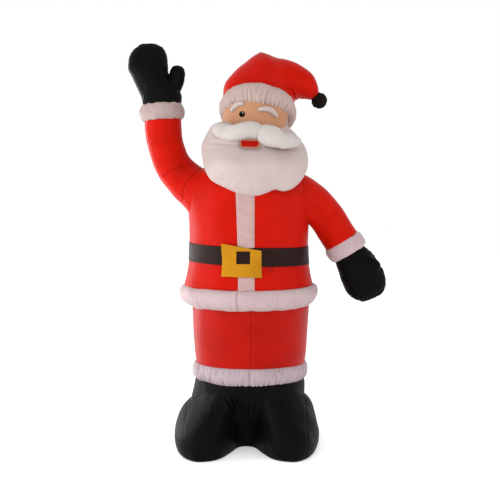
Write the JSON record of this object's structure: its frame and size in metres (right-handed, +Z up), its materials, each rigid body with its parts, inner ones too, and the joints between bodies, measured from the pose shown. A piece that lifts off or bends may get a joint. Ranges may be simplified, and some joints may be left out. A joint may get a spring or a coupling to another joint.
{
  "type": "inflatable santa figure",
  "caption": "Waving inflatable Santa for the garden: round-bodied figure in red with white trims, one arm raised, hat bent to its side, thick beard and broad black boots.",
  "frame": {"origin": "on the ground under the middle of the round body, on the flat sole of the boots", "axes": "+Z up, the figure faces -Y, its raised arm is at -X and its lowered arm at +X"},
  "size_m": [1.5413, 0.8599, 2.3775],
  "materials": {
    "red_nylon": "thin woven nylon, slightly shiny, some light through it",
    "white_nylon": "thin woven nylon, slightly shiny, a little pink from the red beside it",
    "black_nylon": "thin woven nylon with a soft sheen",
    "skin_nylon": "thin woven nylon, matt",
    "yellow_cloth": "thicker flat cloth, matt",
    "white_plush": "short plush pile, matt"
  },
  "bodies": {
    "root": {"boots": "black_nylon", "trouser_trim": "white_nylon", "trousers": "red_nylon", "coat_trim": "white_nylon", "coat": "red_nylon", "belt": "black_nylon", "buckle": "yellow_cloth", "front_strip_upper": "white_nylon", "front_strip_lower": "white_nylon", "sleeve_raised": "red_nylon", "cuff_raised": "white_nylon", "mitten_raised": "black_nylon", "sleeve_lowered": "red_nylon", "cuff_lowered": "white_nylon", "mitten_lowered": "black_nylon", "face": "skin_nylon", "hair": "white_nylon", "beard": "white_nylon", "moustache_left": "white_plush", "moustache_right": "white_plush", "eyebrow_left": "white_plush", "eyebrow_right": "white_plush", "hat_band": "white_nylon", "hat": "red_nylon", "pompom": "black_nylon"}
  },
  "joints": []
}
